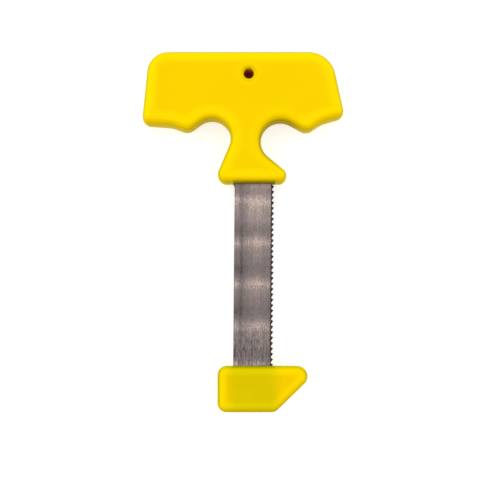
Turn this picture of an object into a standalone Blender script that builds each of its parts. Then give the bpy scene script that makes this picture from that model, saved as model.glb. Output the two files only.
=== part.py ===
"""T-handle pull saw.

A flat toothed steel blade has a moulded T-shaped handle on one end and a blunt moulded foot on
the other. The saw lies on its back: +Z points out of its front face, +Y runs from the foot to
the handle, and +X is the toothed side. The origin is on the resting surface, under the middle
of the saw's box. Lengths are in millimetres, and the meshes are scaled to metres as they are made.

Both mouldings have an outline like a belt run round a row of pegs: a straight run between two
pegs, and an arc round each. Their edges are rounded over by insetting that belt level by level.
"""

import math
from collections import namedtuple

import bmesh
import bpy

MM = 0.001

# Thicknesses. The blade lies in the middle of both mouldings.
HANDLE_THICKNESS = 16.0
FOOT_THICKNESS = 9.5
BLADE_THICKNESS = 0.9
MID_PLANE = HANDLE_THICKNESS / 2

# Room left between the blade and the plastic moulded round it.
CLEARANCE = 0.3

# Blade, in its own frame: X across it from its centre line, Y along it.
BLADE_WIDTH = 18.6
BLADE_CENTRE_X = 5.2
BLADE_LEAN = math.radians(0.45)
BLADE_TIP_Y = -80.6
BACK_SHOULDER_Y = 33.6
TOOTHED_SHOULDER_Y = 28.0
SLOPE_TOP_Y = 35.0
TANG_TOP_Y = 64.0
TANG_WIDTH = 8.0
TANG_OFFSET = -4.3
CORNER_CUT = 1.2

# Teeth: ten to the inch, leaning towards the handle because the saw cuts on the pull.
TOOTH_PITCH = 2.54
TOOTH_DEPTH = 0.95
FIRST_TOOTH_Y = 21.4
TOOTH_FRONT = 0.55
TOOTH_BACK = 1.4
TOOTH_SET = 0.24
SET_TEETH = 34

# Anchor holes through the blade, which the plastic fills: x, y and diameter.
TANG_HOLES = ((TANG_OFFSET, 59.0, 4.0), (TANG_OFFSET, 49.0, 4.0), (0.0, 28.4, 5.0))
FOOT_HOLES = ((-4.6, -72.0, 5.0), (4.6, -72.0, 5.0))
CUTTER_DEPTH = 4.0

# Lanyard hole through the handle, with rounded lips.
LANYARD_X = 2.7
LANYARD_Y = 73.8
LANYARD_RADIUS = 2.45
LANYARD_LIP = 1.5

# Fineness of the curves.
ARC_STEP = math.radians(9)
EDGE_STEPS = 5
ROUND_STEPS = 24
SMALLEST_RADIUS = 0.3

# A peg of an outline: the outline passes it anticlockwise (OUT) where the plastic bulges and
# clockwise (IN) where it is hollow. edge is the radius that rounds the edge over there.
Peg = namedtuple("Peg", "x y radius turn edge")
OUT = 1
IN = -1

HANDLE_PEGS = (
    Peg(-43.45, 53.7, 3.9, OUT, 5.0),   # lower left corner of the grip
    Peg(-36.5, 34.8, 14.6, IN, 3.8),    # left finger rest
    Peg(-26.5, 52.3, 5.3, OUT, 3.8),    # left cusp between two fingers
    Peg(-14.7, 43.5, 8.9, IN, 3.0),     # left finger hollow, beside the shank
    Peg(-7.8, 26.5, 4.1, OUT, 3.4),     # left tip of the flare
    Peg(16.8, 26.0, 3.6, OUT, 3.2),     # right tip of the flare, over the teeth
    Peg(17.7, 42.1, 9.3, IN, 4.3),      # right finger hollow
    Peg(29.7, 51.95, 5.1, OUT, 3.9),    # right cusp
    Peg(42.0, 40.9, 10.9, IN, 3.9),     # right finger rest
    Peg(43.5, 56.5, 3.85, OUT, 5.0),    # lower right corner of the grip
    Peg(30.9, 71.75, 13.0, OUT, 5.5),   # upper right corner
    Peg(-35.3, 74.75, 10.0, OUT, 5.5),   # upper left corner
)

FOOT_PEGS = (
    Peg(-7.7, -80.55, 4.2, OUT, 3.4),   # lower left corner
    Peg(13.2, -80.05, 4.7, OUT, 3.4),   # foot of the sloping nose
    Peg(25.3, -67.96, 4.9, OUT, 3.4),   # top of the nose
    Peg(-7.7, -67.26, 4.2, OUT, 3.4),   # upper left corner
)


def clear_scene():
    for thing in list(bpy.data.objects):
        bpy.data.objects.remove(thing, do_unlink=True)


def make_material(name, colour, roughness, metallic):
    material = bpy.data.materials.new(name)
    material.use_nodes = True
    shader = material.node_tree.nodes["Principled BSDF"]
    shader.inputs["Base Color"].default_value = (*colour, 1.0)
    shader.inputs["Roughness"].default_value = roughness
    shader.inputs["Metallic"].default_value = metallic
    material.diffuse_color = (*colour, 1.0)
    return material


def make_object(name, bm, material=None):
    """Scale the mesh from millimetres to metres and link it as an object."""
    bmesh.ops.scale(bm, vec=(MM, MM, MM), verts=bm.verts)
    bmesh.ops.recalc_face_normals(bm, faces=bm.faces)
    mesh = bpy.data.meshes.new(name)
    bm.to_mesh(mesh)
    bm.free()
    thing = bpy.data.objects.new(name, mesh)
    bpy.context.scene.collection.objects.link(thing)
    if material:
        mesh.materials.append(material)
    return thing


def make_cutter(name, bm):
    cutter = make_object(name, bm)
    cutter.hide_render = True
    cutter.display_type = "WIRE"
    return cutter


def subtract(target, cutter):
    modifier = target.modifiers.new("Cut " + cutter.name, "BOOLEAN")
    modifier.operation = "DIFFERENCE"
    modifier.solver = "EXACT"
    modifier.object = cutter


def run_headings(pegs):
    """Heading of the straight run that leaves each peg for the next one."""
    headings = []
    for peg, following in zip(pegs, pegs[1:] + pegs[:1]):
        across = following.x - peg.x
        along = following.y - peg.y
        step_out = following.turn * following.radius - peg.turn * peg.radius
        lean = math.asin(step_out / math.hypot(across, along))
        headings.append(math.atan2(along, across) - lean)
    return headings


def turn_angle(peg, arriving, leaving):
    """Angle through which the outline turns round a peg, signed."""
    return peg.turn * (peg.turn * (leaving - arriving) % math.tau)


def inset_peg(peg, amount, arriving, leaving):
    """Move the outline inwards at one peg. A corner tighter than the inset moves bodily."""
    radius = peg.radius - peg.turn * amount
    if radius >= SMALLEST_RADIUS:
        return peg._replace(radius=radius)
    shift = SMALLEST_RADIUS - radius
    half_turn = (leaving - arriving) / 2
    middle = (arriving + leaving) / 2
    reach = shift / math.cos(half_turn)
    x = peg.x - reach * math.sin(middle)
    y = peg.y + reach * math.cos(middle)
    return peg._replace(x=x, y=y, radius=SMALLEST_RADIUS)


def outline_points(pegs, share=0.0):
    """Points round the belt as (x, y, edge). share is the part of each peg's edge radius by
    which the belt is inset, and it never changes how many points there are."""
    headings = run_headings(pegs)
    arrivals = headings[-1:] + headings[:-1]
    turns = [turn_angle(*item) for item in zip(pegs, arrivals, headings)]
    moved = tuple(
        inset_peg(peg, peg.edge * share, arriving, arriving + turn)
        for peg, arriving, turn in zip(pegs, arrivals, turns)
    )
    new_headings = run_headings(moved)
    points = []
    for index, peg in enumerate(moved):
        arriving = new_headings[index - 1]
        turn = turn_angle(peg, arriving, new_headings[index])
        steps = max(2, round(abs(turns[index]) / ARC_STEP))
        reach = peg.turn * peg.radius
        for step in range(steps + 1):
            heading = arriving + turn * step / steps
            x = peg.x + reach * math.sin(heading)
            y = peg.y - reach * math.cos(heading)
            points.append((x, y, peg.edge))
    return points


def skin_rings(bm, rings):
    """Join rings of equal length into a closed solid, with a flat cap on each end."""
    loops = [[bm.verts.new(point) for point in ring] for ring in rings]
    for lower, upper in zip(loops, loops[1:]):
        for index in range(len(lower)):
            bm.faces.new((lower[index - 1], lower[index], upper[index], upper[index - 1]))
    bm.faces.new(reversed(loops[0]))
    bm.faces.new(loops[-1])


def rounded_slab(pegs, z_low, z_high):
    """A slab of the belt's outline with both edges rounded over."""
    rings = []
    for step in range(EDGE_STEPS, -1, -1):
        angle = math.pi / 2 * step / EDGE_STEPS
        points = outline_points(pegs, 1 - math.cos(angle))
        rings.append([(x, y, z_low + edge * (1 - math.sin(angle))) for x, y, edge in points])
    for step in range(EDGE_STEPS + 1):
        angle = math.pi / 2 * step / EDGE_STEPS
        points = outline_points(pegs, 1 - math.cos(angle))
        rings.append([(x, y, z_high - edge * (1 - math.sin(angle))) for x, y, edge in points])
    bm = bmesh.new()
    skin_rings(bm, rings)
    return bm


def turned(profile, x, y):
    """A solid turned round a vertical axis, from (radius, z) pairs that run upwards."""
    rings = []
    for radius, z in profile:
        angles = [math.tau * step / ROUND_STEPS for step in range(ROUND_STEPS)]
        rings.append([(x + radius * math.cos(a), y + radius * math.sin(a), z) for a in angles])
    bm = bmesh.new()
    skin_rings(bm, rings)
    return bm


def lean_with_blade(thing):
    """Put a piece made in the blade's own frame in place, at the blade's slight lean."""
    thing.location = (BLADE_CENTRE_X * MM, 0.0, MID_PLANE * MM)
    thing.rotation_euler = (0.0, 0.0, -BLADE_LEAN)


def pin_cutter(name, hole, slack):
    """A cylinder through the blade's mid-plane, narrower than an anchor hole by the slack."""
    x, y, diameter = hole
    radius = diameter / 2 - slack
    cutter = make_cutter(name, turned(((radius, -CUTTER_DEPTH), (radius, CUTTER_DEPTH)), x, y))
    lean_with_blade(cutter)
    return cutter


def slot_cutter(name, outline, holes):
    """The room for one end of the blade, pierced where the plastic passes through the blade."""
    half = BLADE_THICKNESS / 2 + CLEARANCE
    bm = bmesh.new()
    skin_rings(bm, [[(x, y, z) for x, y in outline] for z in (-half, half)])
    cutter = make_cutter(name, bm)
    lean_with_blade(cutter)
    for index, hole in enumerate(holes):
        subtract(cutter, pin_cutter(f"{name}_key_{index}", hole, CLEARANCE))
    return cutter


def tang_outline(edge, slack=0.0):
    """The blade's upper end, from its toothed edge to its back. The toothed side is cut away in
    a slope, which keeps it inside the flare, and the tang that is left passes up the shank."""
    half = BLADE_WIDTH / 2
    tang_half = TANG_WIDTH / 2 + slack
    return [
        (edge + slack, TOOTHED_SHOULDER_Y + slack),
        (TANG_OFFSET + tang_half, SLOPE_TOP_Y + slack),
        (TANG_OFFSET + tang_half, TANG_TOP_Y + slack),
        (TANG_OFFSET - tang_half, TANG_TOP_Y + slack),
        (TANG_OFFSET - tang_half, BACK_SHOULDER_Y + slack),
        (-half - slack, BACK_SHOULDER_Y + slack),
    ]


def tang_slot_outline():
    """The blade's upper end with the clearance all round, open at the handle's underside."""
    half = BLADE_WIDTH / 2
    mouth = FIRST_TOOTH_Y - TOOTH_PITCH
    corners = [(-half - CLEARANCE, mouth), (half + CLEARANCE, mouth)]
    return corners + tang_outline(half, CLEARANCE)


def foot_slot_outline():
    """The blade's plain end with the clearance all round, open at the foot's upper side."""
    half = BLADE_WIDTH / 2 + CLEARANCE
    bottom = BLADE_TIP_Y - CLEARANCE
    mouth = FIRST_TOOTH_Y - (SET_TEETH - 1) * TOOTH_PITCH
    return ((-half, bottom), (half, bottom), (half, mouth), (-half, mouth))


def lanyard_cutter():
    """A bore that opens out at both faces in a quarter-round lip."""
    wide = LANYARD_RADIUS + LANYARD_LIP
    profile = [(wide, -LANYARD_LIP)]
    for step in range(EDGE_STEPS + 1):
        angle = math.pi / 2 * step / EDGE_STEPS
        radius = wide - LANYARD_LIP * math.sin(angle)
        profile.append((radius, LANYARD_LIP * (1 - math.cos(angle))))
    top = [(radius, HANDLE_THICKNESS - z) for radius, z in reversed(profile)]
    return make_cutter("lanyard_bore", turned(profile + top, LANYARD_X, LANYARD_Y))


def build_handle(material):
    handle = make_object("handle", rounded_slab(HANDLE_PEGS, 0.0, HANDLE_THICKNESS), material)
    subtract(handle, slot_cutter("tang_slot", tang_slot_outline(), TANG_HOLES))
    subtract(handle, lanyard_cutter())
    return handle


def build_foot(material):
    low = MID_PLANE - FOOT_THICKNESS / 2
    high = MID_PLANE + FOOT_THICKNESS / 2
    foot = make_object("foot", rounded_slab(FOOT_PEGS, low, high), material)
    subtract(foot, slot_cutter("foot_slot", foot_slot_outline(), FOOT_HOLES))
    return foot


def tooth_tips():
    """Tips from the handle down, as (y, sideways set). Only the teeth in the open are set."""
    above = int((TOOTHED_SHOULDER_Y - TOOTH_FRONT - FIRST_TOOTH_Y) / TOOTH_PITCH)
    below = int((FIRST_TOOTH_Y - BLADE_TIP_Y - TOOTH_BACK - CORNER_CUT) / TOOTH_PITCH)
    tips = []
    for number in range(-above, below + 1):
        in_the_open = 0 <= number < SET_TEETH
        sideways = TOOTH_SET * (-1) ** number if in_the_open else 0.0
        tips.append((FIRST_TOOTH_Y - number * TOOTH_PITCH, sideways))
    return tips


def build_blade(material):
    """A plate with a narrow tang, and a tooth wedge standing on each pitch of its right edge."""
    half = BLADE_WIDTH / 2
    root = half - TOOTH_DEPTH
    tips = tooth_tips()
    outline = [
        (-half, BLADE_TIP_Y + CORNER_CUT),
        (CORNER_CUT - half, BLADE_TIP_Y),
        (root - CORNER_CUT, BLADE_TIP_Y),
        (root, BLADE_TIP_Y + CORNER_CUT),
    ]
    roots_start = len(outline)
    for y, _ in reversed(tips):
        outline.append((root, y - TOOTH_BACK))
        outline.append((root, y + TOOTH_FRONT))
    outline += tang_outline(root)
    thick = BLADE_THICKNESS / 2
    bm = bmesh.new()
    lower = [bm.verts.new((x, y, -thick)) for x, y in outline]
    upper = [bm.verts.new((x, y, thick)) for x, y in outline]
    bm.faces.new(reversed(lower))
    bm.faces.new(upper)
    teeth = {}
    for number, (y, sideways) in enumerate(reversed(tips)):
        low = bm.verts.new((half, y, sideways - thick))
        high = bm.verts.new((half, y, sideways + thick))
        teeth[roots_start + 2 * number] = (low, high)
    for index in range(len(outline)):
        following = (index + 1) % len(outline)
        a, b, c, d = lower[index], lower[following], upper[following], upper[index]
        if index not in teeth:
            bm.faces.new((a, b, c, d))
            continue
        low, high = teeth[index]
        bm.faces.new((a, low, high, d))
        bm.faces.new((low, b, c, high))
        bm.faces.new((a, b, low))
        bm.faces.new((d, high, c))
    blade = make_object("blade", bm, material)
    lean_with_blade(blade)
    for index, hole in enumerate(TANG_HOLES + FOOT_HOLES):
        subtract(blade, pin_cutter(f"anchor_{index}", hole, 0.0))
    return blade


def shade_round(thing):
    thing.data.shade_smooth()
    thing.data.set_sharp_from_angle(angle=math.radians(35))


def main():
    clear_scene()
    yellow = make_material("yellow_plastic", (0.93, 0.62, 0.0), 0.38, 0.0)
    steel = make_material("saw_steel", (0.27, 0.22, 0.2), 0.42, 1.0)
    shade_round(build_handle(yellow))
    shade_round(build_foot(yellow))
    build_blade(steel)


main()
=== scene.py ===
import math
from collections import namedtuple

import bmesh
import bpy
import numpy as np
from mathutils import Matrix


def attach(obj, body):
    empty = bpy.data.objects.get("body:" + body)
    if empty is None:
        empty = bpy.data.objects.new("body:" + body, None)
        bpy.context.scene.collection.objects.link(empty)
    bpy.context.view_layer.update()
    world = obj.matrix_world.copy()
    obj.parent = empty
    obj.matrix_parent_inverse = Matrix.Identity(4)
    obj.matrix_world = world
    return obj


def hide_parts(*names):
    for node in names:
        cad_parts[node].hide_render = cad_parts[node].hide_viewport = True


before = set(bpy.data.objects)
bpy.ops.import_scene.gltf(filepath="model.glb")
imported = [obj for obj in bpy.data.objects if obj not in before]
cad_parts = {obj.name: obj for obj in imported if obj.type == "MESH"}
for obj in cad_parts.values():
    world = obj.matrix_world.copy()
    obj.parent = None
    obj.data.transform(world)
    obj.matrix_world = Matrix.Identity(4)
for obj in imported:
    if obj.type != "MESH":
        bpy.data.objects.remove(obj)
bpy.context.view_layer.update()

MM = 0.001

# Thicknesses. The blade lies in the middle of both mouldings.
HANDLE_THICKNESS = 16.0
FOOT_THICKNESS = 9.5
BLADE_THICKNESS = 0.9
MID_PLANE = HANDLE_THICKNESS / 2

# The plastic is moulded onto the blade, so it closes tightly round it.
SLACK = 0.02

# Mould marks: the walls draw in a little towards both faces, and the two halves of the
# mould leave a fine raised line round the middle.
DRAFT_INSET = 0.1
PARTING_INSET = 0.06
PARTING_HALF_WIDTHS = (0.3, 0.12)

# The flat faces are cut into square cells, whose corners carry the distance to the outline.
FACE_CELL = 1.5
FLAT_ENOUGH = 0.9999

# Blade, in its own frame: X across it from its centre line, Y along it.
BLADE_WIDTH = 18.6
BLADE_CENTRE_X = 5.2
BLADE_LEAN = math.radians(0.45)
BLADE_TIP_Y = -80.6
BACK_SHOULDER_Y = 33.6
TOOTHED_SHOULDER_Y = 28.0
SLOPE_TOP_Y = 35.0
TANG_TOP_Y = 64.0
TANG_WIDTH = 8.0
TANG_OFFSET = -4.3
CORNER_CUT = 1.2
BACK_EDGE_ROUND = 0.16

# Teeth: ten to the inch. Each leans towards the handle and is set to one side in turn.
TOOTH_PITCH = 2.54
TOOTH_DEPTH = 0.95
FIRST_TOOTH_Y = 21.4
TOOTH_FRONT = 0.55
TOOTH_BACK = 1.4
TOOTH_SET = 0.24
SET_TEETH = 34
GULLET_RADIUS = 0.4
TIP_LAND = 0.14
FLEAM = 0.24
BACK_FLEAM_SHARE = 0.3
LAND_SLANT = 0.02
GULLET_STEPS = 4

# The painted reflection bands across the blade, from the first one's middle down.
REFLECTION_BAND_PITCH = 19.6
FIRST_REFLECTION_BAND_Y = 14.0

TANG_HOLES = ((TANG_OFFSET, 59.0, 4.0), (TANG_OFFSET, 49.0, 4.0), (0.0, 28.4, 5.0))
FOOT_HOLES = ((-4.6, -72.0, 5.0), (4.6, -72.0, 5.0))
CUTTER_DEPTH = 4.0

# Lanyard hole, with rounded lips.
LANYARD_X = 2.7
LANYARD_Y = 73.8
LANYARD_RADIUS = 2.45
LANYARD_LIP = 1.5

# The web of plastic in the corner between the handle and the blade's back.
WEB_REACH = 1.7
WEB_DROP = 2.6
WEB_HALF_THICKNESS = 0.45
UNDERSIDE_Y = 22.4

ARC_STEP = math.radians(3)
EDGE_STEPS = 12
ROUND_STEPS = 64
SMALLEST_RADIUS = 0.3

Peg = namedtuple("Peg", "x y radius turn edge")
OUT = 1
IN = -1

HANDLE_PEGS = (
    Peg(-43.45, 53.7, 3.9, OUT, 5.0),   # lower left corner of the grip
    Peg(-36.5, 34.8, 14.6, IN, 3.8),    # left finger rest
    Peg(-26.5, 52.3, 5.3, OUT, 3.8),    # left cusp between two fingers
    Peg(-14.7, 43.5, 8.9, IN, 3.0),     # left finger hollow, beside the shank
    Peg(-7.8, 26.5, 4.1, OUT, 3.4),     # left tip of the flare
    Peg(16.8, 26.0, 3.6, OUT, 3.2),     # right tip of the flare, over the teeth
    Peg(17.7, 42.1, 9.3, IN, 4.3),      # right finger hollow
    Peg(29.7, 51.95, 5.1, OUT, 3.9),    # right cusp
    Peg(42.0, 40.9, 10.9, IN, 3.9),     # right finger rest
    Peg(43.5, 56.5, 3.85, OUT, 5.0),    # lower right corner of the grip
    Peg(30.9, 71.75, 13.0, OUT, 5.5),   # upper right corner
    Peg(-35.3, 74.75, 10.0, OUT, 5.5),  # upper left corner
)

FOOT_PEGS = (
    Peg(-7.7, -80.55, 4.2, OUT, 3.4),   # lower left corner
    Peg(13.2, -80.05, 4.7, OUT, 3.4),   # foot of the sloping nose
    Peg(25.3, -67.96, 4.9, OUT, 3.4),   # top of the nose
    Peg(-7.7, -67.26, 4.2, OUT, 3.4),   # upper left corner
)

# The deep finger hollows beside the shank, and how much painted shade each one's wall gets.
HOLLOWS = ((HANDLE_PEGS[3], 0.25), (HANDLE_PEGS[6], 1.0))
HOLLOW_FADE = (0.1, 1.6)

# Edges sharper than this stay crisp in the shading.
CREASE = math.radians(35)

FLOOR_HALF_SIZE = 1500.0

# The camera looks down from over the blade's foot end, tilted a little towards the grip.
LENS = 115.2
CAMERA_PLACE = (0.003305, -0.055722, 0.758827)
CAMERA_TILT = math.radians(3.5763)


# ---------------------------------------------------------------- shapes

def make_object(name, bm, material=None):
    """Scale the mesh from millimetres to metres and link it as an object."""
    bmesh.ops.scale(bm, vec=(MM, MM, MM), verts=bm.verts)
    bmesh.ops.recalc_face_normals(bm, faces=bm.faces)
    mesh = bpy.data.meshes.new(name)
    bm.to_mesh(mesh)
    bm.free()
    thing = bpy.data.objects.new(name, mesh)
    bpy.context.scene.collection.objects.link(thing)
    if material:
        mesh.materials.append(material)
    return thing


def cut(target, cutter, operation="DIFFERENCE"):
    """Cut one object with another, keep the result as plain mesh and drop the cutter."""
    modifier = target.modifiers.new("cut", "BOOLEAN")
    modifier.operation = operation
    modifier.solver = "EXACT"
    modifier.object = cutter
    depsgraph = bpy.context.evaluated_depsgraph_get()
    result = bpy.data.meshes.new_from_object(target.evaluated_get(depsgraph), depsgraph=depsgraph)
    target.modifiers.clear()
    target.data = result
    bpy.data.objects.remove(cutter)


def run_headings(pegs):
    """Heading of the straight run that leaves each peg for the next one."""
    headings = []
    for peg, following in zip(pegs, pegs[1:] + pegs[:1]):
        across = following.x - peg.x
        along = following.y - peg.y
        step_out = following.turn * following.radius - peg.turn * peg.radius
        lean = math.asin(step_out / math.hypot(across, along))
        headings.append(math.atan2(along, across) - lean)
    return headings


def turn_angle(peg, arriving, leaving):
    """Angle through which the outline turns round a peg, signed."""
    return peg.turn * (peg.turn * (leaving - arriving) % math.tau)


def inset_peg(peg, amount, arriving, leaving):
    """Move the outline inwards at one peg. A corner tighter than the inset moves bodily."""
    radius = peg.radius - peg.turn * amount
    if radius >= SMALLEST_RADIUS:
        return peg._replace(radius=radius)
    shift = SMALLEST_RADIUS - radius
    half_turn = (leaving - arriving) / 2
    middle = (arriving + leaving) / 2
    reach = shift / math.cos(half_turn)
    x = peg.x - reach * math.sin(middle)
    y = peg.y + reach * math.cos(middle)
    return peg._replace(x=x, y=y, radius=SMALLEST_RADIUS)


def outline_points(pegs, share, inset):
    """Points round the belt as (x, y, edge), inset by a share of each peg's edge radius and by
    a plain amount. The number of points never changes."""
    headings = run_headings(pegs)
    arrivals = headings[-1:] + headings[:-1]
    turns = [turn_angle(*item) for item in zip(pegs, arrivals, headings)]
    moved = tuple(
        inset_peg(peg, peg.edge * share + inset, arriving, arriving + turn)
        for peg, arriving, turn in zip(pegs, arrivals, turns)
    )
    new_headings = run_headings(moved)
    points = []
    for index, peg in enumerate(moved):
        arriving = new_headings[index - 1]
        turn = turn_angle(peg, arriving, new_headings[index])
        steps = max(2, round(abs(turns[index]) / ARC_STEP))
        reach = peg.turn * peg.radius
        for step in range(steps + 1):
            heading = arriving + turn * step / steps
            x = peg.x + reach * math.sin(heading)
            y = peg.y - reach * math.cos(heading)
            points.append((x, y, peg.edge))
    return points


def skin_rings(bm, rings):
    """Join rings of equal length into a closed solid, with a flat cap on each end."""
    loops = [[bm.verts.new(point) for point in ring] for ring in rings]
    for lower, upper in zip(loops, loops[1:]):
        for index in range(len(lower)):
            bm.faces.new((lower[index - 1], lower[index], upper[index], upper[index - 1]))
    bm.faces.new(reversed(loops[0]))
    bm.faces.new(loops[-1])


def moulded_slab(pegs, thickness):
    """A slab of the belt's outline about the blade's plane, with rounded edges, drafted walls
    and a parting line."""
    rounding = []
    for step in range(EDGE_STEPS, -1, -1):
        angle = math.pi / 2 * step / EDGE_STEPS
        points = outline_points(pegs, 1 - math.cos(angle), DRAFT_INSET)
        rounding.append([
            (x, y, thickness / 2 - edge * (1 - math.sin(angle))) for x, y, edge in points
        ])
    wide, narrow = PARTING_HALF_WIDTHS
    foot_of_ridge = [(x, y, wide) for x, y, _ in outline_points(pegs, 0.0, PARTING_INSET)]
    ridge = [(x, y, narrow) for x, y, _ in outline_points(pegs, 0.0, 0.0)]
    upper = rounding + [foot_of_ridge, ridge]
    lower = [[(x, y, -z) for x, y, z in ring] for ring in upper]
    rings = [[(x, y, z + MID_PLANE) for x, y, z in ring] for ring in lower + upper[::-1]]
    bm = bmesh.new()
    skin_rings(bm, rings)
    return bm


def divide_faces(thing):
    """Cut the two flat faces into square cells, without changing their shape."""
    bm = bmesh.new()
    bm.from_mesh(thing.data)
    for axis in (0, 1):
        values = [vert.co[axis] / MM for vert in bm.verts]
        normal = (1 - axis, axis, 0)
        for number in range(math.ceil(min(values) / FACE_CELL), int(max(values) / FACE_CELL) + 1):
            flat = [face for face in bm.faces if abs(face.normal.z) > FLAT_ENOUGH]
            parts = set(flat)
            for face in flat:
                parts.update(face.edges)
                parts.update(face.verts)
            place = [n * number * FACE_CELL * MM for n in normal]
            bmesh.ops.bisect_plane(bm, geom=list(parts), plane_co=place, plane_no=normal)
    bm.to_mesh(thing.data)
    bm.free()


def hollowness(outline):
    """How much painted shade each point of the outline gets for lining a deep finger hollow."""
    hollow = np.zeros(len(outline))
    for peg, hollow_shade in HOLLOWS:
        off_arc = np.abs(np.hypot(outline[:, 0] - peg.x, outline[:, 1] - peg.y) - peg.radius)
        hollow = np.maximum(hollow, np.interp(off_arc, HOLLOW_FADE, (hollow_shade, 0.0)))
    return hollow


def mark_edges(thing, pegs):
    """Store how far in each vertex is from the outline, in millimetres, how squarely the
    nearest stretch of outline faces the foot end, and how much painted shade it gets for lining a
    finger hollow."""
    divide_faces(thing)
    outline = np.array([(x, y) for x, y, _ in outline_points(pegs, 0.0, 0.0)])
    runs = np.roll(outline, -1, axis=0) - outline
    squares = np.maximum((runs ** 2).sum(axis=1), 1e-9)
    flat = np.empty(len(thing.data.vertices) * 3)
    thing.data.vertices.foreach_get("co", flat)
    places = flat.reshape(-1, 3)[:, :2] / MM
    away = places[:, None] - outline
    along = np.clip((away * runs).sum(axis=2) / squares, 0.0, 1.0)
    apart = np.sqrt(((away - along[..., None] * runs) ** 2).sum(axis=2))
    facing = np.clip(runs[:, 0] / np.sqrt(squares), 0.0, 1.0)
    nearest = apart.argmin(axis=1)
    share = along[np.arange(len(places)), nearest]
    hollow = hollowness(outline)
    hollow = hollow[nearest] * (1 - share) + np.roll(hollow, -1)[nearest] * share
    marks = {"inset": apart.min(axis=1), "underside": facing[nearest], "hollow": hollow}
    for name, values in marks.items():
        attribute = thing.data.attributes.new(name, "FLOAT", "POINT")
        attribute.data.foreach_set("value", values.astype(np.float32))


def turned(profile, x, y):
    """A solid turned round a vertical axis, from (radius, z) pairs that run upwards."""
    rings = []
    for radius, z in profile:
        angles = [math.tau * step / ROUND_STEPS for step in range(ROUND_STEPS)]
        rings.append([(x + radius * math.cos(a), y + radius * math.sin(a), z) for a in angles])
    bm = bmesh.new()
    skin_rings(bm, rings)
    return bm


def extruded(outline, z_low, z_high):
    bm = bmesh.new()
    skin_rings(bm, [[(x, y, z) for x, y in outline] for z in (z_low, z_high)])
    return bm


def lean_with_blade(bm):
    """Move a mesh from the blade's own frame to its place, at the blade's slight lean."""
    place = Matrix.Translation((BLADE_CENTRE_X, 0.0, MID_PLANE))
    bmesh.ops.transform(bm, matrix=place @ Matrix.Rotation(-BLADE_LEAN, 4, "Z"), verts=bm.verts)
    return bm


def pin(hole, slack):
    """A cylinder through the blade's plane, narrower than an anchor hole by the slack."""
    x, y, diameter = hole
    radius = diameter / 2 - slack
    profile = ((radius, -CUTTER_DEPTH), (radius, CUTTER_DEPTH))
    return make_object("pin", lean_with_blade(turned(profile, x, y)))


def slot_cutter(outline, holes):
    """The room for one end of the blade, pierced where the plastic passes through the blade."""
    half = BLADE_THICKNESS / 2 + SLACK
    cutter = make_object("slot", lean_with_blade(extruded(outline, -half, half)))
    for hole in holes:
        cut(cutter, pin(hole, SLACK))
    return cutter


def tang_outline(edge, slack=0.0):
    """The blade's upper end, from its toothed edge to its back. The toothed side is cut away in
    a slope, which keeps it inside the flare, and the tang that is left passes up the shank."""
    half = BLADE_WIDTH / 2
    tang_half = TANG_WIDTH / 2 + slack
    return [
        (edge + slack, TOOTHED_SHOULDER_Y + slack),
        (TANG_OFFSET + tang_half, SLOPE_TOP_Y + slack),
        (TANG_OFFSET + tang_half, TANG_TOP_Y + slack),
        (TANG_OFFSET - tang_half, TANG_TOP_Y + slack),
        (TANG_OFFSET - tang_half, BACK_SHOULDER_Y + slack),
        (-half - slack, BACK_SHOULDER_Y + slack),
    ]


def tang_slot_outline():
    half = BLADE_WIDTH / 2
    mouth = FIRST_TOOTH_Y - TOOTH_PITCH
    corners = [(-half - SLACK, mouth), (half + SLACK, mouth)]
    return corners + tang_outline(half, SLACK)


def foot_slot_outline():
    half = BLADE_WIDTH / 2 + SLACK
    bottom = BLADE_TIP_Y - SLACK
    mouth = FIRST_TOOTH_Y - (SET_TEETH - 1) * TOOTH_PITCH
    return ((-half, bottom), (half, bottom), (half, mouth), (-half, mouth))


def lanyard_cutter():
    """A bore that opens out at both faces in a quarter-round lip."""
    wide = LANYARD_RADIUS + LANYARD_LIP
    profile = [(wide, -LANYARD_LIP)]
    for step in range(EDGE_STEPS + 1):
        angle = math.pi / 2 * step / EDGE_STEPS
        radius = wide - LANYARD_LIP * math.sin(angle)
        profile.append((radius, LANYARD_LIP * (1 - math.cos(angle))))
    top = [(radius, HANDLE_THICKNESS - z) for radius, z in reversed(profile)]
    return make_object("bore", turned(profile + top, LANYARD_X, LANYARD_Y))


def corner_web():
    """The hollow web of plastic where the handle's underside meets the blade's back."""
    back = -BLADE_WIDTH / 2
    outline = [(back, UNDERSIDE_Y + 1.0), (back - WEB_REACH, UNDERSIDE_Y + 1.0)]
    for step in range(EDGE_STEPS + 1):
        angle = math.pi / 2 * step / EDGE_STEPS
        x = back - WEB_REACH * (1 - math.sin(angle))
        y = UNDERSIDE_Y - WEB_DROP * (1 - math.cos(angle))
        outline.append((x, y))
    return make_object("web", lean_with_blade(
        extruded(outline, -WEB_HALF_THICKNESS, WEB_HALF_THICKNESS)))


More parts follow.
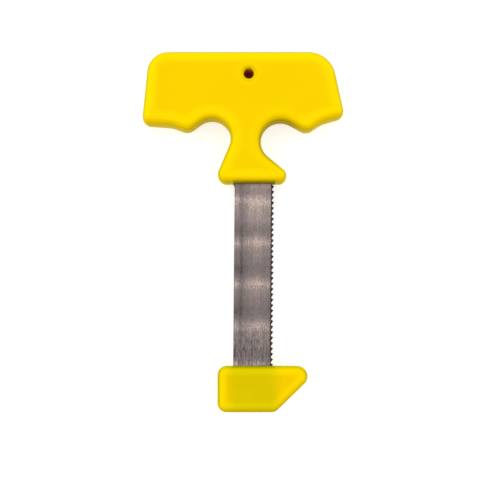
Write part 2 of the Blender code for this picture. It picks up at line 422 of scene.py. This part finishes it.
def tooth_profile(y, trim_front):
    """One tooth's outline from gullet to gullet, upwards: back flank, land, front flank."""
    half = BLADE_WIDTH / 2
    root = half - TOOTH_DEPTH
    below = y - TOOTH_BACK - (TOOTH_PITCH - TOOTH_BACK - TOOTH_FRONT) / 2
    above = below + TOOTH_PITCH
    points = [(root, below)]
    back_angle = math.atan2(TOOTH_DEPTH, TOOTH_BACK)
    front_angle = math.atan2(TOOTH_DEPTH, TOOTH_FRONT)
    for step in range(1, GULLET_STEPS + 1):
        angle = back_angle * step / GULLET_STEPS
        points.append((
            root + GULLET_RADIUS * (1 - math.cos(angle)),
            below + GULLET_RADIUS * math.sin(angle),
        ))
    points.append((half, y - TIP_LAND / 2 - trim_front * BACK_FLEAM_SHARE))
    points.append((half - LAND_SLANT, y + TIP_LAND / 2 - trim_front))
    for step in range(GULLET_STEPS, 0, -1):
        angle = front_angle * step / GULLET_STEPS
        points.append((
            root + GULLET_RADIUS * (1 - math.cos(angle)),
            above - GULLET_RADIUS * math.sin(angle) - trim_front * step / (GULLET_STEPS + 1),
        ))
    points.append((root, above))
    return points


def build_blade(material):
    """A plate with rounded back edges, and one wedge for each tooth, bent to its side."""
    half = BLADE_WIDTH / 2
    root = half - TOOTH_DEPTH
    thick = BLADE_THICKNESS / 2
    bm = bmesh.new()
    # The plate: its right border follows the tooth roots, and runs out to full width where
    # the plastic hides it.
    numbers = range(SET_TEETH, -2, -1)
    lowest = FIRST_TOOTH_Y - SET_TEETH * TOOTH_PITCH - TOOTH_BACK
    lowest -= (TOOTH_PITCH - TOOTH_BACK - TOOTH_FRONT) / 2
    highest = lowest + len(numbers) * TOOTH_PITCH
    right = [(half - CORNER_CUT, BLADE_TIP_Y), (half, BLADE_TIP_Y + CORNER_CUT), (half, lowest)]
    roots = [(root, lowest + step * TOOTH_PITCH) for step in range(len(numbers) + 1)]
    left = [(-half, BLADE_TIP_Y + CORNER_CUT), (CORNER_CUT - half, BLADE_TIP_Y)]
    outline = right + roots + [(half, highest)] + tang_outline(half) + left
    first_root = len(right)

    def ring(z, inset):
        return [bm.verts.new((max(x, inset - half), y, z)) for x, y in outline]

    rounding = [(0.0, BACK_EDGE_ROUND), (0.3, 0.7 * BACK_EDGE_ROUND), (0.7, 0.3 * BACK_EDGE_ROUND)]
    levels = [(thick - BACK_EDGE_ROUND * share, inset * (1 - share)) for share, inset in rounding]
    levels.append((thick - BACK_EDGE_ROUND, 0.0))
    rings = [ring(-z, inset) for z, inset in levels]
    rings += [ring(z, inset) for z, inset in reversed(levels)]
    bm.faces.new(reversed(rings[0]))
    bm.faces.new(rings[-1])
    toothed = range(first_root, first_root + len(numbers))
    for lower, upper in zip(rings, rings[1:]):
        for index in range(len(outline)):
            if index in toothed:
                continue
            following = (index + 1) % len(outline)
            bm.faces.new((lower[index], lower[following], upper[following], upper[index]))
    for place, number in enumerate(numbers):
        y = FIRST_TOOTH_Y - number * TOOTH_PITCH
        # The last tooth is half inside the foot, so it has no set.
        in_the_open = 0 <= number < SET_TEETH - 1
        lean = TOOTH_SET / TOOTH_DEPTH * (-1) ** number if in_the_open else 0.0
        index = first_root + place
        faces = []
        for z, side in ((-thick, -1), (thick, 1)):
            trim = FLEAM if side == (-1) ** number else 0.0
            profile = tooth_profile(y, trim)
            ends = rings[-1] if side > 0 else rings[0]
            middle = [bm.verts.new((x, v, z + lean * (x - root))) for x, v in profile[1:-1]]
            faces.append([ends[index]] + middle + [ends[index + 1]])
        low, high = faces
        bm.faces.new(low[::-1])
        bm.faces.new(high)
        first_column = [r[index] for r in rings]
        last_column = [r[index + 1] for r in rings]
        bm.faces.new((low[0], low[1], high[1], *first_column[:0:-1]))
        for a, b, c, d in zip(low[1:-2], low[2:-1], high[2:-1], high[1:-2]):
            bm.faces.new((a, b, c, d))
        bm.faces.new((low[-2], *last_column, high[-2]))
    blade = make_object("saw_blade", lean_with_blade(bm), material)
    for hole in TANG_HOLES + FOOT_HOLES:
        cut(blade, pin(hole, 0.0))
    return blade


# ---------------------------------------------------------------- materials

class Graph:
    """A material's node tree. Each method adds a node and returns its output socket."""

    def __init__(self, name):
        self.material = bpy.data.materials.new(name)
        self.material.use_nodes = True
        self.tree = self.material.node_tree
        self.shader = self.tree.nodes["Principled BSDF"]
        place = self.tree.nodes.new("ShaderNodeTexCoord").outputs["Object"]
        self.place = self.vector("SCALE", place, Scale=1 / MM)

    def feed(self, socket, value):
        if isinstance(value, bpy.types.NodeSocket):
            self.tree.links.new(value, socket)
        else:
            socket.default_value = value

    def vector(self, operation, first, second=None, **named):
        node = self.tree.nodes.new("ShaderNodeVectorMath")
        node.operation = operation
        self.feed(node.inputs[0], first)
        if second is not None:
            self.feed(node.inputs[1], second)
        for key, value in named.items():
            self.feed(node.inputs[key], value)
        return node.outputs["Value" if operation in ("DISTANCE", "LENGTH") else "Vector"]

    def split(self, vector):
        node = self.tree.nodes.new("ShaderNodeSeparateXYZ")
        self.feed(node.inputs[0], vector)
        return tuple(node.outputs)

    def math(self, operation, *values, clamp=False):
        node = self.tree.nodes.new("ShaderNodeMath")
        node.operation = operation
        node.use_clamp = clamp
        for socket, value in zip(node.inputs, values):
            self.feed(socket, value)
        return node.outputs[0]

    def step(self, value, low, high):
        """0 at low, 1 at high, with a soft start and end."""
        node = self.tree.nodes.new("ShaderNodeMapRange")
        node.interpolation_type = "SMOOTHSTEP"
        self.feed(node.inputs["Value"], value)
        self.feed(node.inputs["From Min"], low)
        self.feed(node.inputs["From Max"], high)
        return node.outputs["Result"]

    def scale_to(self, value, low, high, to_low, to_high):
        node = self.tree.nodes.new("ShaderNodeMapRange")
        for key, given in zip(("Value", "From Min", "From Max", "To Min", "To Max"),
                              (value, low, high, to_low, to_high)):
            self.feed(node.inputs[key], given)
        return node.outputs["Result"]

    def between(self, share, at_none, at_full):
        """at_none where the share is 0, at_full where it is 1."""
        return self.scale_to(share, 0.0, 1.0, at_none, at_full)

    def times(self, first, second, clamp=False):
        return self.math("MULTIPLY", first, second, clamp=clamp)

    def waver(self, level, noise, low, high, amount):
        """Raise and lower a level by up to the amount, as a share of it, with a noise."""
        swing = self.times(amount, self.scale_to(noise, low, high, -1.0, 1.0))
        return self.times(level, self.math("ADD", 1.0, swing))

    def stretch(self, vector, x, y, z):
        return self.vector("MULTIPLY", vector, (x, y, z))

    def noise(self, vector, scale=1.0, detail=2.0, roughness=0.5):
        node = self.tree.nodes.new("ShaderNodeTexNoise")
        self.feed(node.inputs["Vector"], vector)
        node.inputs["Scale"].default_value = scale
        node.inputs["Detail"].default_value = detail
        node.inputs["Roughness"].default_value = roughness
        return node.outputs["Fac"]

    def ramp(self, value, stops):
        """A colour ramp from (position, colour or grey) pairs."""
        node = self.tree.nodes.new("ShaderNodeValToRGB")
        node.color_ramp.interpolation = "EASE"
        while len(node.color_ramp.elements) < len(stops):
            node.color_ramp.elements.new(0.5)
        for element, (position, colour) in zip(node.color_ramp.elements, stops):
            element.position = position
            if isinstance(colour, float):
                colour = (colour, colour, colour)
            element.color = (*colour, 1.0)
        self.feed(node.inputs["Fac"], value)
        return node.outputs["Color"]

    def mix(self, factor, first, second, blend="MIX"):
        node = self.tree.nodes.new("ShaderNodeMix")
        node.data_type = "RGBA"
        node.blend_type = blend
        self.feed(node.inputs["Factor"], factor)
        a, b = [s for s in node.inputs if s.type == "RGBA"]
        self.feed(a, first if isinstance(first, bpy.types.NodeSocket) else (*first, 1.0))
        self.feed(b, second if isinstance(second, bpy.types.NodeSocket) else (*second, 1.0))
        return [s for s in node.outputs if s.type == "RGBA"][0]

    def tinted(self, colour, share, tint):
        """The colour, multiplied by the tint where the share is 1."""
        return self.mix(share, colour, self.mix(1.0, colour, tint, "MULTIPLY"))

    def bump(self, height, distance, normal=None):
        node = self.tree.nodes.new("ShaderNodeBump")
        node.inputs["Distance"].default_value = distance * MM
        self.feed(node.inputs["Height"], height)
        if normal is not None:
            self.feed(node.inputs["Normal"], normal)
        return node.outputs["Normal"]

    def set(self, **inputs):
        for key, value in inputs.items():
            self.feed(self.shader.inputs[key.replace("_", " ")], value)

    def attribute(self, name):
        node = self.tree.nodes.new("ShaderNodeAttribute")
        node.attribute_name = name
        return node.outputs["Fac"]

    def facing_grip(self):
        """How squarely the surface faces the grip end, from -1 to 1."""
        node = self.tree.nodes.new("ShaderNodeNewGeometry")
        return self.split(node.outputs["Normal"])[1]

    def in_blade_frame(self):
        """Coordinates across and along the blade, in millimetres, from its centre line."""
        node = self.tree.nodes.new("ShaderNodeMapping")
        node.vector_type = "TEXTURE"
        node.inputs["Location"].default_value = (BLADE_CENTRE_X, 0.0, MID_PLANE)
        node.inputs["Rotation"].default_value = (0.0, 0.0, -BLADE_LEAN)
        self.feed(node.inputs["Vector"], self.place)
        return node.outputs["Vector"]


def yellow_plastic():
    """Moulded yellow plastic, a little see-through: the steel inside shows as a duller patch
    where the cover over it is thin. The edges carry a painted glow, for light that enters at an
    edge and comes out close by, and painted shade darkens the walls, hollows and joints.

    Distances are in millimetres. Along the blade, the foot's top is near -63 and the handle's
    underside near 22.4. The inset runs inwards from the outline."""
    g = Graph("yellow_plastic")
    fresh = (0.895, 0.612, 0.0)
    painted_lit_edge = (1.0, 0.70, 0.0)
    over_steel = (0.705, 0.55, 0.0)
    painted_lit_edge_over_steel = (0.73, 0.615, 0.0)
    bore_shade = (0.8, 0.32, 0.0)
    across, along, high = g.split(g.in_blade_frame())
    off_centre = g.math("ABSOLUTE", across)
    inset = g.attribute("inset")
    level_place = g.stretch(g.place, 1.0, 1.0, 0.0)

    # Where the steel shows through.
    beside = g.step(off_centre, 15.0, 7.3)
    foot = g.times(g.step(along, -58.0, -64.0), g.step(along, -92.0, -80.0))
    flare = g.times(g.step(along, 21.0, 27.0), g.step(along, 40.0, 30.0))
    depth = g.math("ADD", foot, g.times(flare, 0.12))
    shadow = g.times(beside, depth, clamp=True)
    patchy = g.noise(g.place, 0.07, 2.0)
    shadow = g.times(shadow, g.scale_to(patchy, 0.3, 0.7, 0.9, 1.06), clamp=True)

    # Painted glow: a lighter band just inside the outline, set further in on the side that faces the
    # foot end, and less beside the deep finger hollows.
    hollow = g.attribute("hollow")
    on_foot = g.step(along, -58.0, -62.0)
    underside = g.attribute("underside")
    shift = g.times(underside, g.between(on_foot, 1.1, 0.2))
    lit = g.math("SUBTRACT", inset, shift)
    reach = g.between(on_foot, 7.0, 5.4)
    painted_glow = g.times(g.step(lit, 0.4, 2.2), g.step(lit, reach, 2.9))
    painted_glow = g.times(painted_glow, g.between(hollow, 1.0, 0.4))
    # A painted light ring round the lanyard bore.
    bore = g.vector("DISTANCE", level_place, (LANYARD_X, LANYARD_Y, 0.0))
    painted_glow = g.math("MAXIMUM", painted_glow, g.times(g.step(bore, 6.4, 4.2), 0.4))

    colour = g.mix(shadow, g.mix(painted_glow, fresh, painted_lit_edge), g.mix(painted_glow, over_steel, painted_lit_edge_over_steel))
    swirl = g.noise(g.stretch(g.place, 1.0, 1.6, 1.0), 0.045, 3.0, 0.55)
    colour = g.tinted(colour, g.scale_to(swirl, 0.3, 0.7, 0.0, 1.0), (1.0, 0.965, 1.0))

    # Painted shade: the whole foot a little darker, and darker walls, most of all in the hollows and
    # where the blade goes in.
    colour = g.tinted(colour, on_foot, (0.94, 0.94, 1.0))
    wall_shade = g.step(inset, 1.5, 0.2)
    colour = g.tinted(colour, wall_shade, (0.83, 0.90, 0.8))
    # A line of painted shade round the outline, stronger on the foot. It fades out on the underside,
    # and is paler and greener on the side that faces the grip end.
    side = g.math("SUBTRACT", 1.0, underside)
    side = g.mix(on_foot, g.times(side, 0.6), g.scale_to(underside, 0.0, 0.7, 1.0, 0.15))
    rim_shade = g.times(g.step(inset, 1.8, 0.6), side)
    top = g.step(g.facing_grip(), 0.35, 0.85)
    rim_shade_colour = g.mix(top, (0.65, 0.81, 0.9), (0.88, 1.07, 0.8))
    colour = g.tinted(colour, rim_shade, rim_shade_colour)
    # Painted shade in the deep finger hollows.
    deep = g.times(g.step(inset, 2.3, 0.0), g.times(hollow, 0.33))
    # Painted shade where the blade goes into the plastic.
    over_blade = g.times(g.step(off_centre, 10.6, 9.2), g.step(along, 28.0, 26.0))
    over_blade = g.times(over_blade, g.step(along, -80.0, -74.0))
    darkness = g.times(over_blade, g.between(on_foot, 0.5, 0.27))
    joint_shade = g.times(g.step(inset, 1.9, 0.0), darkness)
    # The shade is deepest just over the blade, on the handle's wall.
    crevice = g.times(g.step(inset, 0.6, 0.2), g.step(g.math("ABSOLUTE", high), 5.0, 1.5))
    crevice = g.times(crevice, g.times(over_blade, g.step(along, 0.0, 10.0)))
    joint_shade = g.math("MAXIMUM", joint_shade, g.times(crevice, 0.82))
    painted_shade = g.math("MAXIMUM", deep, joint_shade)
    colour = g.mix(painted_shade, colour, (0.0, 0.0, 0.0))
    # The web hangs below the handle's underside and is painted a dark olive grey, as shade under the
    # handle.
    web = g.times(g.step(along, 22.25, 21.9), g.step(along, 0.0, 10.0))
    colour = g.mix(web, colour, (0.2, 0.19, 0.12))
    # Painted shade in the lanyard bore: its wall a deep orange, as light that the plastic reddens,
    # and its lip a little darker.
    in_bore = g.times(g.step(bore, 2.9, 2.5), g.step(g.math("ABSOLUTE", high), 6.4, 2.2))
    colour = g.mix(in_bore, colour, bore_shade)
    lip = g.times(g.step(bore, 4.5, 3.7), g.step(bore, 2.6, 3.2))
    colour = g.tinted(colour, lip, (0.86, 0.9, 1.0))

    grain = g.noise(g.place, 3.0, 3.0, 0.6)
    orange_peel = g.noise(g.place, 0.55, 2.0)
    rough = g.scale_to(grain, 0.3, 0.7, 0.36, 0.46)
    normal = g.bump(grain, 0.012)
    normal = g.bump(orange_peel, 0.03, normal)
    g.set(Base_Color=colour, Roughness=rough, Normal=normal, Specular_IOR_Level=0.01)
    return g.material


def saw_steel():
    """Rolled strip steel: lengthwise grain, soft cross bands of painted reflection, and teeth
    painted dark as a reflection of dark surroundings."""
    g = Graph("saw_steel")
    blade = g.in_blade_frame()
    across, along, _ = g.split(blade)
    wander = g.noise(g.stretch(blade, 0.12, 0.03, 0.0), 1.0, 1.0)
    down = g.math("SUBTRACT", FIRST_REFLECTION_BAND_Y, along)
    down = g.math("ADD", down, g.between(wander, -1.2, 1.2))
    phase = g.math("FRACT", g.math("DIVIDE", down, REFLECTION_BAND_PITCH))
    reflection_band = g.ramp(phase, (
        (0.0, 0.385), (0.06, 0.335), (0.13, 0.265), (0.22, 0.234), (0.42, 0.202), (0.58, 0.166),
        (0.68, 0.17), (0.79, 0.21), (0.89, 0.295), (0.95, 0.37), (1.0, 0.385),
    ))
    # The painted reflection bands fade towards the teeth and in the darker line beside the back,
    # and painted light makes the steel brighter beside the handle.
    half = BLADE_WIDTH / 2
    position = g.scale_to(across, -half, half, 0.0, 1.0)
    contrast = g.ramp(position, (
        (0.0, 0.76), (0.09, 0.76), (0.16, 0.44), (0.35, 0.53), (0.62, 0.53), (0.8, 0.45), (1.0, 0.4),
    ))
    middle = 0.2
    level = g.times(g.times(g.math("SUBTRACT", reflection_band, middle), contrast), 2.0)
    level = g.math("ADD", level, middle)
    handle_light = g.between(g.step(along, 9.0, 15.0), 0.08, 0.045)
    level = g.math("ADD", level, g.times(handle_light, g.step(along, -2.0, 6.0)))
    # Painted sheen across the blade: brightest a little past the middle of its width, with a darker
    # trough near the back, and more even near the foot.
    lengthwise = g.ramp(position, (
        (0.0, 0.62), (0.05, 0.84), (0.1, 0.82), (0.175, 0.59), (0.28, 0.81), (0.4, 1.03),
        (0.6, 1.15), (0.76, 1.01), (0.88, 0.94), (1.0, 0.9),
    ))
    near_foot = g.step(along, -42.0, -54.0)
    lengthwise = g.mix(g.times(near_foot, 0.85), lengthwise, (0.98, 0.98, 0.98))
    level = g.times(level, lengthwise)
    # Painted light: the steel grows brighter towards the handle, most of all just under it.
    level = g.times(level, g.scale_to(along, -63.0, 22.0, 0.96, 1.1))
    level = g.times(level, g.between(g.step(along, 18.0, 22.6), 1.0, 1.8))
    fibres = g.noise(g.stretch(blade, 2.6, 0.07, 0.0), 1.0, 4.0, 0.65)
    level = g.times(level, g.scale_to(fibres, 0.3, 0.7, 0.82, 1.18))
    streaks = g.noise(g.stretch(blade, 1.0, 0.035, 0.0), 1.0, 2.0)
    uneven = g.between(near_foot, 0.1, 0.3)
    level = g.waver(level, streaks, 0.36, 0.64, uneven)
    # Short dashes of grain, strongest in the bright bands, and longer ones near the foot.
    dashes = g.noise(g.stretch(blade, 2.2, 0.75, 0.0), 1.0, 3.0, 0.6)
    long_dashes = g.noise(g.stretch(blade, 1.8, 0.3, 0.0), 1.0, 2.0, 0.6)
    reach = g.between(g.step(reflection_band, 0.24, 0.36), 0.18, 0.45)
    reach = g.between(near_foot, reach, 0.3)
    level = g.waver(level, dashes, 0.34, 0.66, reach)
    level = g.waver(level, long_dashes, 0.34, 0.66, g.between(near_foot, 0.08, 0.42))
    blotch = g.noise(g.stretch(blade, 0.5, 0.35, 0.0), 1.0, 4.0, 0.7)
    level = g.times(level, g.scale_to(blotch, 0.3, 0.7, 0.9, 1.1))
    pits = g.step(g.noise(g.stretch(blade, 1.5, 0.8, 0.0), 1.0, 2.0), 0.66, 0.74)
    level = g.times(level, g.between(pits, 1.0, 0.66))
    colour = g.ramp(g.times(level, 0.88), (
        (0.0, (0.0, 0.0, 0.0)), (0.18, (0.18, 0.148, 0.146)), (0.26, (0.26, 0.211, 0.196)),
        (0.46, (0.46, 0.358, 0.32)), (1.0, (1.0, 0.8, 0.75)),
    ))
    tint = g.noise(g.stretch(blade, 0.22, 0.14, 0.0), 1.0, 2.0)
    colour = g.mix(1.0, colour, g.ramp(tint, (
        (0.3, (0.99, 1.02, 0.95)), (0.5, (1.0, 1.0, 1.0)), (0.7, (1.03, 0.98, 1.02)),
    )), "MULTIPLY")
    # The teeth and the strip beside their roots are painted dark; on the teeth this stands for the
    # dark surroundings that they reflect.
    toothed = g.step(across, 7.6, 8.1)
    colour = g.mix(toothed, colour, (0.05, 0.032, 0.025))
    rough = g.scale_to(fibres, 0.3, 0.7, 0.38, 0.5)
    normal = g.bump(fibres, 0.006)
    g.set(Base_Color=colour, Metallic=1.0, Roughness=rough, Normal=normal)
    return g.material


def white_floor():
    """A pale floor that glows a little, as a lit background does. Under the lanyard bore it is
    dark and reddish, which stands in for the light that the plastic tints there."""
    g = Graph("white_floor")
    dust = g.noise(g.place, 0.02, 2.0)
    level = g.scale_to(dust, 0.3, 0.7, 0.55, 0.57)
    bore = g.vector("DISTANCE", g.stretch(g.place, 1.0, 1.0, 0.0), (LANYARD_X, LANYARD_Y, 0.0))
    open_air = g.step(bore, 4.0, 5.0)
    pale = g.mix(level, (0.0, 0.0, 0.0), (1.0, 1.0, 1.0))
    g.set(Base_Color=g.mix(open_air, (0.7, 0.1, 0.09), pale), Roughness=0.9,
          Specular_IOR_Level=0.0, Emission_Color=(1.0, 1.0, 1.0, 1.0),
          Emission_Strength=g.times(open_air, 0.6))
    return g.material


# ---------------------------------------------------------------- object

def finish_piece(thing, node):
    """Shade a piece round, let it ride on the body and stand for its CAD node."""
    thing.data.shade_smooth()
    thing.data.set_sharp_from_angle(angle=CREASE)
    weighted = thing.modifiers.new("weighted_normals", "WEIGHTED_NORMAL")
    weighted.keep_sharp = True
    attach(thing, "root")
    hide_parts(node)


def build_object():
    yellow = yellow_plastic()
    handle = make_object("handle_moulding", moulded_slab(HANDLE_PEGS, HANDLE_THICKNESS), yellow)
    cut(handle, corner_web(), "UNION")
    cut(handle, slot_cutter(tang_slot_outline(), TANG_HOLES))
    cut(handle, lanyard_cutter())
    foot = make_object("foot_moulding", moulded_slab(FOOT_PEGS, FOOT_THICKNESS), yellow)
    cut(foot, slot_cutter(foot_slot_outline(), FOOT_HOLES))
    mark_edges(handle, HANDLE_PEGS)
    mark_edges(foot, FOOT_PEGS)
    blade = build_blade(saw_steel())
    finish_piece(handle, "handle")
    finish_piece(foot, "foot")
    finish_piece(blade, "blade")


# ---------------------------------------------------------------- stage

def build_stage():
    bm = bmesh.new()
    bmesh.ops.create_grid(bm, x_segments=8, y_segments=8, size=FLOOR_HALF_SIZE)
    floor = make_object("floor", bm, white_floor())


def build_world():
    """Soft studio light: a plain sky, a little dimmer overhead than lower down. It goes dark
    low down towards the foot end and towards the grip end."""
    world = bpy.data.worlds.new("studio")
    world.use_nodes = True
    bpy.context.scene.world = world
    tree = world.node_tree
    background = tree.nodes["Background"]
    direction = tree.nodes.new("ShaderNodeTexCoord").outputs["Generated"]
    apart = tree.nodes.new("ShaderNodeSeparateXYZ")
    tree.links.new(direction, apart.inputs[0])
    x, y, z = apart.outputs

    def soft(value, low, high, to_low, to_high):
        node = tree.nodes.new("ShaderNodeMapRange")
        node.interpolation_type = "SMOOTHSTEP"
        tree.links.new(value, node.inputs["Value"])
        numbers = (low, high, to_low, to_high)
        for key, given in zip(("From Min", "From Max", "To Min", "To Max"), numbers):
            node.inputs[key].default_value = given
        return node.outputs["Result"]

    def multiply(first, second):
        node = tree.nodes.new("ShaderNodeMath")
        node.operation = "MULTIPLY"
        tree.links.new(first, node.inputs[0])
        tree.links.new(second, node.inputs[1])
        return node.outputs[0]

    overhead = soft(z, 0.60, 0.98, 1.67, 1.3)
    near_foot = soft(y, -0.74, -0.32, 0.0, 1.0)
    near_grip = soft(y, 0.56, 0.86, 1.0, 0.07)
    sideways = soft(x, -0.7, 0.7, 1.07, 0.93)
    strength = multiply(multiply(overhead, sideways), multiply(near_foot, near_grip))
    tree.links.new(strength, background.inputs["Strength"])
    background.inputs["Color"].default_value = (1.0, 1.0, 1.0, 1.0)


def build_camera():
    camera = bpy.data.cameras.new("camera")
    camera.lens = LENS
    camera.clip_start = 0.01
    thing = bpy.data.objects.new("camera", camera)
    thing.location = CAMERA_PLACE
    thing.rotation_euler = (CAMERA_TILT, 0.0, 0.0)
    bpy.context.scene.collection.objects.link(thing)
    bpy.context.scene.camera = thing


build_object()
build_stage()
build_world()
build_camera()
bpy.context.scene.view_settings.view_transform = "Standard"
